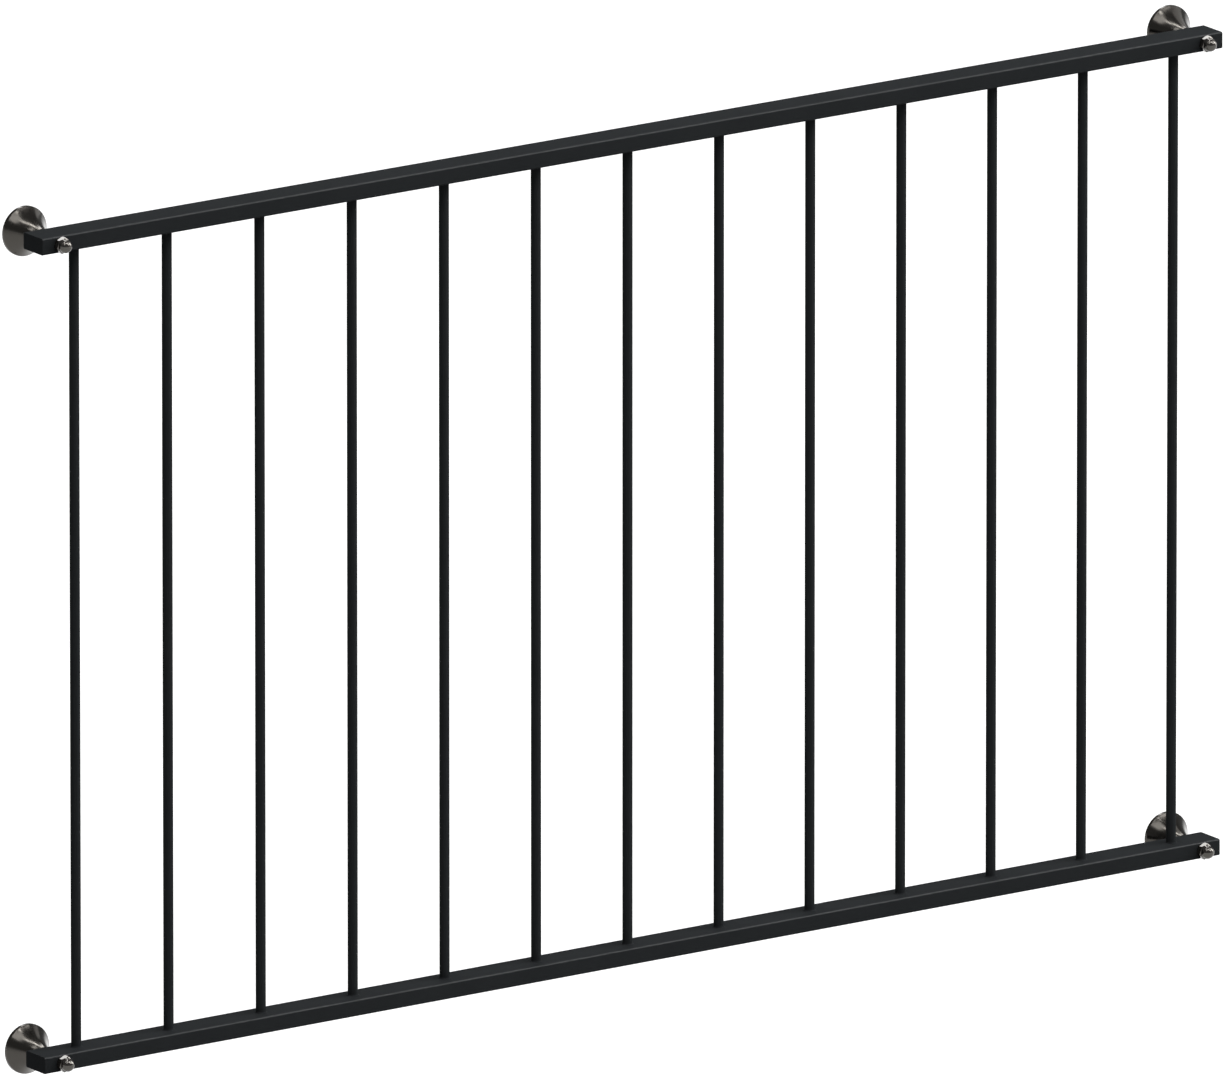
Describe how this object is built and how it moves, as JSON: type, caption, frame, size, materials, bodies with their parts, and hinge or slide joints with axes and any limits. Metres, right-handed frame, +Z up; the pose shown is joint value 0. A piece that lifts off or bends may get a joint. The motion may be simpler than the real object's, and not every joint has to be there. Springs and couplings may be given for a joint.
{
  "type": "juliet balcony railing",
  "caption": "Juliet balcony railing in black powder-coated steel: upright round bars between flat rectangular tube rails, held off the wall by flared steel rosettes with domed cap nuts.",
  "frame": {"origin": "centre of the lower left rosette's flat seat on the wall", "axes": "+X along the railing to the right as seen from outside, +Y into the wall, +Z up"},
  "size_m": [1.684, 0.095, 1.047],
  "materials": {
    "powder_coat": "black powder coat, satin, fine orange peel",
    "satin_steel": "turned steel, dark nickelled, satin"
  },
  "bodies": {
    "root": {"bottom_rail": "powder_coat", "bottom_rail_left_end": "powder_coat", "rosette_bottom_left": "satin_steel", "cap_nut_bottom_left": "satin_steel", "bottom_rail_right_end": "powder_coat", "rosette_bottom_right": "satin_steel", "cap_nut_bottom_right": "satin_steel", "top_rail": "powder_coat", "top_rail_left_end": "powder_coat", "rosette_top_left": "satin_steel", "cap_nut_top_left": "satin_steel", "top_rail_right_end": "powder_coat", "rosette_top_right": "satin_steel", "cap_nut_top_right": "satin_steel", "bar_01": "powder_coat", "bar_02": "powder_coat", "bar_03": "powder_coat", "bar_04": "powder_coat", "bar_05": "powder_coat", "bar_06": "powder_coat", "bar_07": "powder_coat", "bar_08": "powder_coat", "bar_09": "powder_coat", "bar_10": "powder_coat", "bar_11": "powder_coat", "bar_12": "powder_coat", "bar_13": "powder_coat"}
  },
  "joints": []
}
